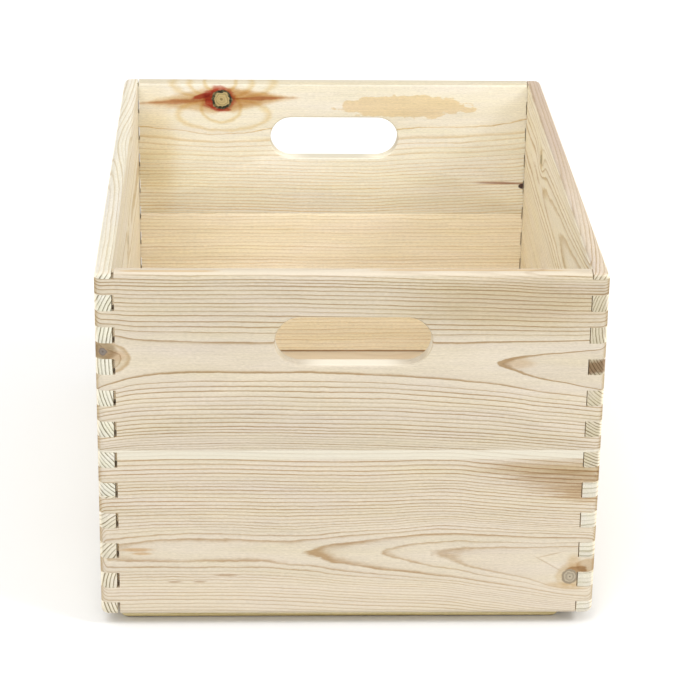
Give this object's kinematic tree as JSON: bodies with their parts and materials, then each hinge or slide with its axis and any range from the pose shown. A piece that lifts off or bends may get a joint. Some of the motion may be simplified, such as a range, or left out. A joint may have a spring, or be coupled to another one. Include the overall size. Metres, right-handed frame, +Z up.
{
  "type": "wooden crate",
  "caption": "Stackable open-topped pine crate with finger-jointed corners, a hand hole in each short end and foot battens under the base.",
  "frame": {"origin": "on the ground, under the middle of the crate's bounding box", "axes": "+Z up out of the open top, +Y along the length towards the back end, +X to the right of the front end"},
  "size_m": [0.3, 0.4, 0.23],
  "materials": {
    "pine": "bare planed pine, lightly sanded",
    "plywood": "bare sanded plywood",
    "batten_pine": "bare planed pine"
  },
  "bodies": {
    "root": {"front_upper_board": "pine", "front_lower_board": "pine", "back_upper_board": "pine", "back_lower_board": "pine", "left_upper_board": "pine", "left_lower_board": "pine", "right_upper_board": "pine", "right_lower_board": "pine", "base_panel": "plywood", "front_foot_batten": "batten_pine", "back_foot_batten": "batten_pine"}
  },
  "joints": []
}
